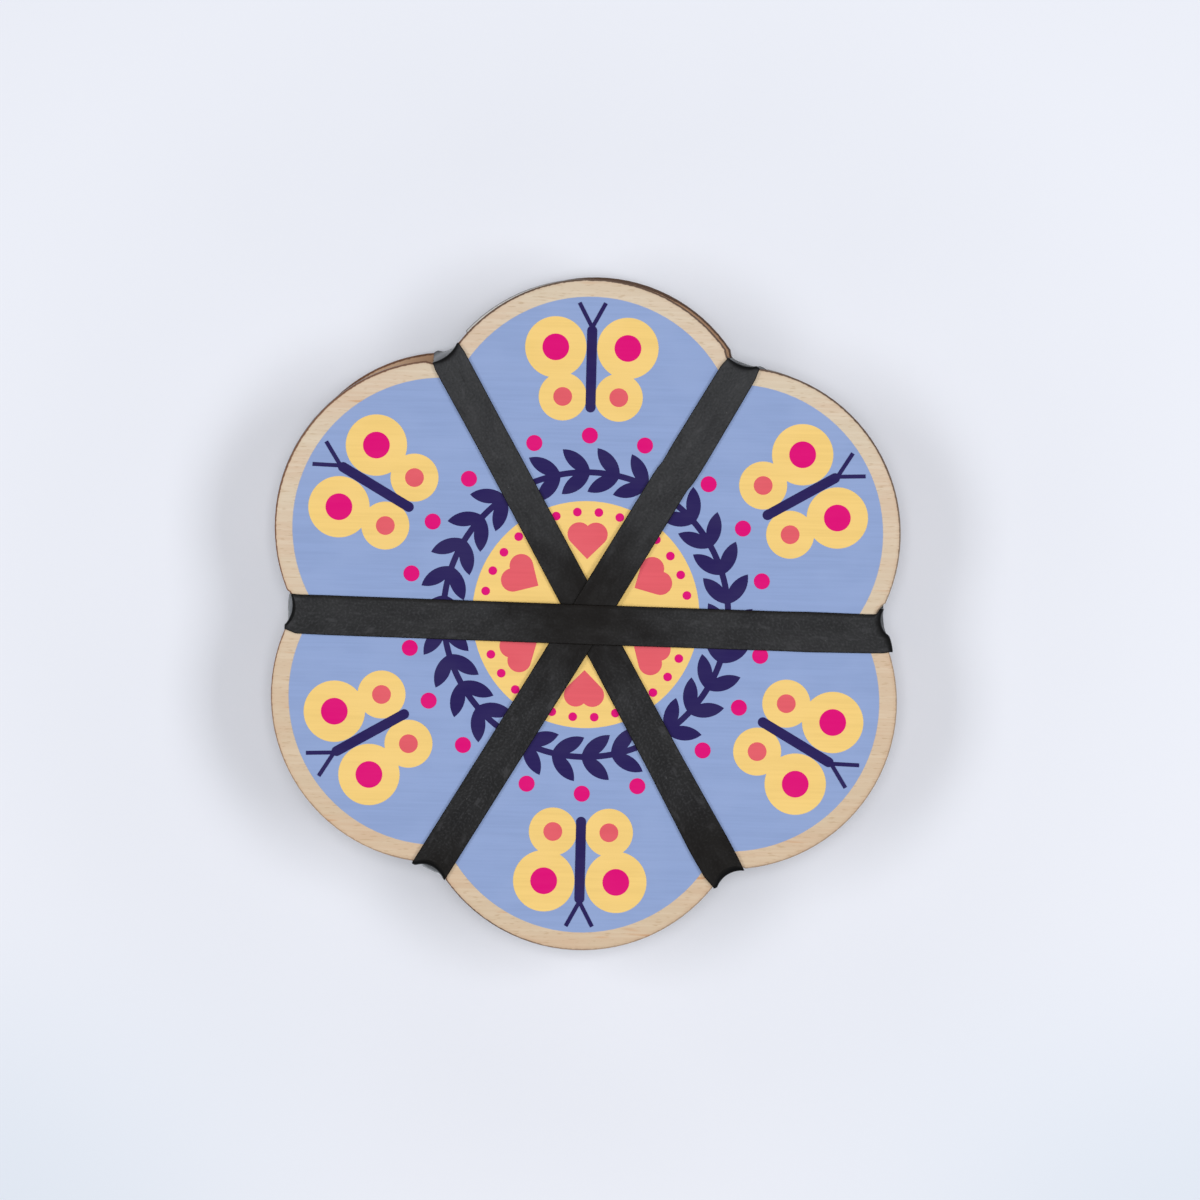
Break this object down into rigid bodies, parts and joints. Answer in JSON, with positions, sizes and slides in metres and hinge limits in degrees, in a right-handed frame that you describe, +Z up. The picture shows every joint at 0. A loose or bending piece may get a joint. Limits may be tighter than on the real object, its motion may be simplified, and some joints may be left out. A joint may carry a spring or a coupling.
{
  "type": "flower press",
  "caption": "Petal-shaped wooden press for drying flowers: boards clamp corrugated cards and blotting papers, held by crossed rubber bands seated in edge notches.",
  "frame": {"origin": "under the middle of the press, on the surface that it lies on", "axes": "+Z up through the stack, +Y towards a petal tip, +X towards a notch, so that one rubber band runs along X"},
  "size_m": [0.1889, 0.2038, 0.0352],
  "materials": {
    "wood": "satin",
    "card": "matte",
    "blotting_paper": "matte",
    "rubber": "matte",
    "ink_ground": "satin",
    "ink_yellow": "satin",
    "ink_coral": "satin",
    "ink_magenta": "satin",
    "ink_indigo": "satin"
  },
  "bodies": {
    "base": {"bottom_board": "wood", "band_inner": "rubber", "band_middle": "rubber", "band_outer": "rubber"},
    "card_1": {"card_1": "card"},
    "blotting_paper_1": {"blotting_paper_1": "blotting_paper"},
    "blotting_paper_2": {"blotting_paper_2": "blotting_paper"},
    "card_2": {"card_2": "card"},
    "blotting_paper_3": {"blotting_paper_3": "blotting_paper"},
    "blotting_paper_4": {"blotting_paper_4": "blotting_paper"},
    "card_3": {"card_3": "card"},
    "blotting_paper_5": {"blotting_paper_5": "blotting_paper"},
    "blotting_paper_6": {"blotting_paper_6": "blotting_paper"},
    "card_4": {"card_4": "card"},
    "blotting_paper_7": {"blotting_paper_7": "blotting_paper"},
    "blotting_paper_8": {"blotting_paper_8": "blotting_paper"},
    "card_5": {"card_5": "card"},
    "top": {"top_board": "wood", "print_ground": "ink_ground", "print_yellow": "ink_yellow", "print_coral": "ink_coral", "print_magenta": "ink_magenta", "print_indigo": "ink_indigo"}
  },
  "joints": [
    {"name": "top_board_lift", "type": "slide", "parent": "base", "child": "top", "axis": [0, 0, 1], "range_m": [0, 0.02], "stiffness_N_per_m": 520, "springref_m": -0.055, "deforming": ["band_inner", "band_middle", "band_outer"]},
    {"name": "card_1_lift", "type": "slide", "parent": "base", "child": "card_1", "axis": [0, 0, 1], "range_m": [0, 0.0003]},
    {"name": "blotting_paper_1_lift", "type": "slide", "parent": "base", "child": "blotting_paper_1", "axis": [0, 0, 1], "range_m": [0, 0.0005]},
    {"name": "blotting_paper_2_lift", "type": "slide", "parent": "base", "child": "blotting_paper_2", "axis": [0, 0, 1], "range_m": [0, 0.005]},
    {"name": "card_2_lift", "type": "slide", "parent": "base", "child": "card_2", "axis": [0, 0, 1], "range_m": [0, 0.0052]},
    {"name": "blotting_paper_3_lift", "type": "slide", "parent": "base", "child": "blotting_paper_3", "axis": [0, 0, 1], "range_m": [0, 0.0054]},
    {"name": "blotting_paper_4_lift", "type": "slide", "parent": "base", "child": "blotting_paper_4", "axis": [0, 0, 1], "range_m": [0, 0.0099]},
    {"name": "card_3_lift", "type": "slide", "parent": "base", "child": "card_3", "axis": [0, 0, 1], "range_m": [0, 0.0101]},
    {"name": "blotting_paper_5_lift", "type": "slide", "parent": "base", "child": "blotting_paper_5", "axis": [0, 0, 1], "range_m": [0, 0.0103]},
    {"name": "blotting_paper_6_lift", "type": "slide", "parent": "base", "child": "blotting_paper_6", "axis": [0, 0, 1], "range_m": [0, 0.0148]},
    {"name": "card_4_lift", "type": "slide", "parent": "base", "child": "card_4", "axis": [0, 0, 1], "range_m": [0, 0.015]},
    {"name": "blotting_paper_7_lift", "type": "slide", "parent": "base", "child": "blotting_paper_7", "axis": [0, 0, 1], "range_m": [0, 0.0152]},
    {"name": "blotting_paper_8_lift", "type": "slide", "parent": "base", "child": "blotting_paper_8", "axis": [0, 0, 1], "range_m": [0, 0.0197]},
    {"name": "card_5_lift", "type": "slide", "parent": "base", "child": "card_5", "axis": [0, 0, 1], "range_m": [0, 0.0199]}
  ],
  "couplings": [
    {"joint": "card_1_lift", "follows": "top_board_lift", "ratio": 0.01},
    {"joint": "blotting_paper_1_lift", "follows": "top_board_lift", "ratio": 0.02},
    {"joint": "blotting_paper_2_lift", "follows": "top_board_lift", "ratio": 0.245},
    {"joint": "card_2_lift", "follows": "top_board_lift", "ratio": 0.255},
    {"joint": "blotting_paper_3_lift", "follows": "top_board_lift", "ratio": 0.265},
    {"joint": "blotting_paper_4_lift", "follows": "top_board_lift", "ratio": 0.49},
    {"joint": "card_3_lift", "follows": "top_board_lift", "ratio": 0.5},
    {"joint": "blotting_paper_5_lift", "follows": "top_board_lift", "ratio": 0.51},
    {"joint": "blotting_paper_6_lift", "follows": "top_board_lift", "ratio": 0.735},
    {"joint": "card_4_lift", "follows": "top_board_lift", "ratio": 0.745},
    {"joint": "blotting_paper_7_lift", "follows": "top_board_lift", "ratio": 0.755},
    {"joint": "blotting_paper_8_lift", "follows": "top_board_lift", "ratio": 0.98},
    {"joint": "card_5_lift", "follows": "top_board_lift", "ratio": 0.99}
  ]
}
